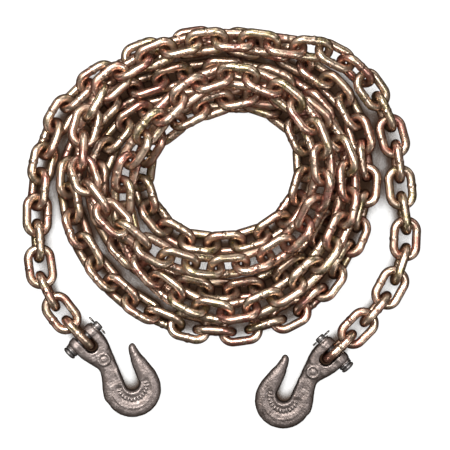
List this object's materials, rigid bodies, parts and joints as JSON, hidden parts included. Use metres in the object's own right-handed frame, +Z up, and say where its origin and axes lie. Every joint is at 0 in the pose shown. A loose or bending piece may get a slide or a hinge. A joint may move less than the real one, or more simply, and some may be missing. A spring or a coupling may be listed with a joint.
{
  "type": "load binder chain",
  "caption": "Coiled welded steel transport chain with a clevis grab hook on a pin at each end, for holding down loads with a load binder.",
  "frame": {"origin": "on the ground under the middle of the whole laid-out assembly", "axes": "+Z up; +Y from the two hooks towards the far side of the coil; +X to the right-hand hook"},
  "size_m": [0.4486, 0.4544, 0.0944],
  "materials": {
    "chain": "zinc plate with yellow chromate, slightly iridescent",
    "hook": "forged and heat treated, thin plate over dark scale",
    "pin": "machined, dark oxide"
  },
  "bodies": {
    "coil": {"coil_links_run_01": "chain", "coil_links_run_02": "chain", "coil_links_run_03": "chain", "coil_links_run_04": "chain", "coil_links_run_05": "chain", "coil_links_run_06": "chain", "coil_links_run_07": "chain", "coil_links_run_08": "chain", "coil_links_run_09": "chain", "coil_links_run_10": "chain", "coil_links_run_11": "chain", "coil_links_run_12": "chain", "coil_links_run_13": "chain", "coil_links_run_14": "chain", "coil_links_run_15": "chain", "coil_links_run_16": "chain", "coil_links_run_17": "chain", "coil_links_run_18": "chain", "coil_links_run_19": "chain", "coil_links_run_20": "chain", "coil_links_run_21": "chain", "coil_links_run_22": "chain", "coil_links_run_23": "chain", "coil_links_run_24": "chain", "coil_links_run_25": "chain", "coil_links_run_26": "chain", "coil_links_run_27": "chain", "coil_links_run_28": "chain", "coil_links_run_29": "chain", "coil_links_run_30": "chain", "coil_links_run_31": "chain", "coil_links_run_32": "chain", "coil_links_run_33": "chain", "coil_links_run_34": "chain", "coil_links_run_35": "chain", "coil_links_run_36": "chain", "coil_links_run_37": "chain", "coil_links_run_38": "chain", "coil_links_run_39": "chain"},
    "left_tail_link_6": {"left_tail_link_6": "chain"},
    "left_tail_link_5": {"left_tail_link_5": "chain"},
    "left_tail_link_4": {"left_tail_link_4": "chain"},
    "left_tail_link_3": {"left_tail_link_3": "chain"},
    "left_tail_link_2": {"left_tail_link_2": "chain"},
    "left_tail_link_1": {"left_tail_link_1": "chain"},
    "left_grab_hook": {"left_grab_hook": "hook"},
    "left_clevis_pin": {"left_clevis_pin": "pin", "left_cotter_pin": "pin"},
    "right_tail_link_7": {"right_tail_link_7": "chain"},
    "right_tail_link_6": {"right_tail_link_6": "chain"},
    "right_tail_link_5": {"right_tail_link_5": "chain"},
    "right_tail_link_4": {"right_tail_link_4": "chain"},
    "right_tail_link_3": {"right_tail_link_3": "chain"},
    "right_tail_link_2": {"right_tail_link_2": "chain"},
    "right_tail_link_1": {"right_tail_link_1": "chain"},
    "right_grab_hook": {"right_grab_hook": "hook"},
    "right_clevis_pin": {"right_clevis_pin": "pin", "right_cotter_pin": "pin"}
  },
  "joints": [
    {"name": "left_tail_link_6_swing", "type": "hinge", "parent": "coil", "child": "left_tail_link_6", "pos_m": [-0.20839, 0.02328, 0.01644], "axis": [0.5962, -0.043, 0.8017], "range_deg": [-75, 8]},
    {"name": "left_tail_link_5_swing", "type": "hinge", "parent": "left_tail_link_6", "child": "left_tail_link_5", "pos_m": [-0.20816, -0.00592, 0.01756], "axis": [-0.8815, 0.0249, 0.4715], "range_deg": [-52, 48]},
    {"name": "left_tail_link_4_swing", "type": "hinge", "parent": "left_tail_link_5", "child": "left_tail_link_4", "pos_m": [-0.20596, -0.03505, 0.01826], "axis": [-0.271, -0.0414, -0.9617], "range_deg": [-8, 72]},
    {"name": "left_tail_link_3_swing", "type": "hinge", "parent": "left_tail_link_4", "child": "left_tail_link_3", "pos_m": [-0.20156, -0.06393, 0.01833], "axis": [0.9873, 0.1351, -0.0836], "range_deg": [-75, 67]},
    {"name": "left_tail_link_2_swing", "type": "hinge", "parent": "left_tail_link_3", "child": "left_tail_link_2", "pos_m": [-0.18698, -0.08963, 0.0183], "axis": [-0.0001, 0.0001, 1], "range_deg": [-75, 12]},
    {"name": "left_tail_link_1_swing", "type": "hinge", "parent": "left_tail_link_2", "child": "left_tail_link_1", "pos_m": [-0.16816, -0.11213, 0.0183], "axis": [-0.7914, -0.6113, 0], "range_deg": [-75, 75]},
    {"name": "left_hook_swing", "type": "hinge", "parent": "left_tail_link_1", "child": "left_grab_hook", "pos_m": [-0.15485, -0.12483, 0.0183], "axis": [0.7157, 0.6984, 0], "range_deg": [-90, 90]},
    {"name": "left_clevis_pin_spin", "type": "hinge", "parent": "left_grab_hook", "child": "left_clevis_pin", "pos_m": [-0.15485, -0.12483, 0.0183], "axis": [0.7157, 0.6984, 0], "continuous": true},
    {"name": "right_tail_link_7_swing", "type": "hinge", "parent": "coil", "child": "right_tail_link_7", "pos_m": [0.20305, 0.02517, 0.01827], "axis": [-0.9925, -0.101, 0.0695], "range_deg": [-75, 75]},
    {"name": "right_tail_link_6_swing", "type": "hinge", "parent": "right_tail_link_7", "child": "right_tail_link_6", "pos_m": [0.20777, -0.00365, 0.01827], "axis": [-0.0681, -0.0105, -0.9976], "range_deg": [-75, 4]},
    {"name": "right_tail_link_5_swing", "type": "hinge", "parent": "right_tail_link_6", "child": "right_tail_link_5", "pos_m": [0.20527, -0.03288, 0.01827], "axis": [0.9966, -0.0467, -0.0682], "range_deg": [-75, 75]},
    {"name": "right_tail_link_4_swing", "type": "hinge", "parent": "right_tail_link_5", "child": "right_tail_link_4", "pos_m": [0.19449, -0.06029, 0.01827], "axis": [-0.0637, 0.0212, -0.9977], "range_deg": [-75, 8]},
    {"name": "right_tail_link_3_swing", "type": "hinge", "parent": "right_tail_link_4", "child": "right_tail_link_3", "pos_m": [0.17966, -0.08557, 0.01827], "axis": [-0.8772, 0.4757, 0.066], "range_deg": [-75, 75]},
    {"name": "right_tail_link_2_swing", "type": "hinge", "parent": "right_tail_link_3", "child": "right_tail_link_2", "pos_m": [0.15967, -0.10705, 0.01827], "axis": [-0.0491, 0.042, -0.9979], "range_deg": [-75, 8]},
    {"name": "right_tail_link_1_swing", "type": "hinge", "parent": "right_tail_link_2", "child": "right_tail_link_1", "pos_m": [0.13884, -0.12754, 0.01828], "axis": [0.7097, -0.7017, -0.063], "range_deg": [-75, 75]},
    {"name": "right_hook_swing", "type": "hinge", "parent": "right_tail_link_1", "child": "right_grab_hook", "pos_m": [0.12535, -0.14, 0.01828], "axis": [-0.6864, 0.7272, 0], "range_deg": [-90, 90]},
    {"name": "right_clevis_pin_spin", "type": "hinge", "parent": "right_grab_hook", "child": "right_clevis_pin", "pos_m": [0.12535, -0.14, 0.01828], "axis": [-0.6864, 0.7272, 0], "continuous": true}
  ]
}
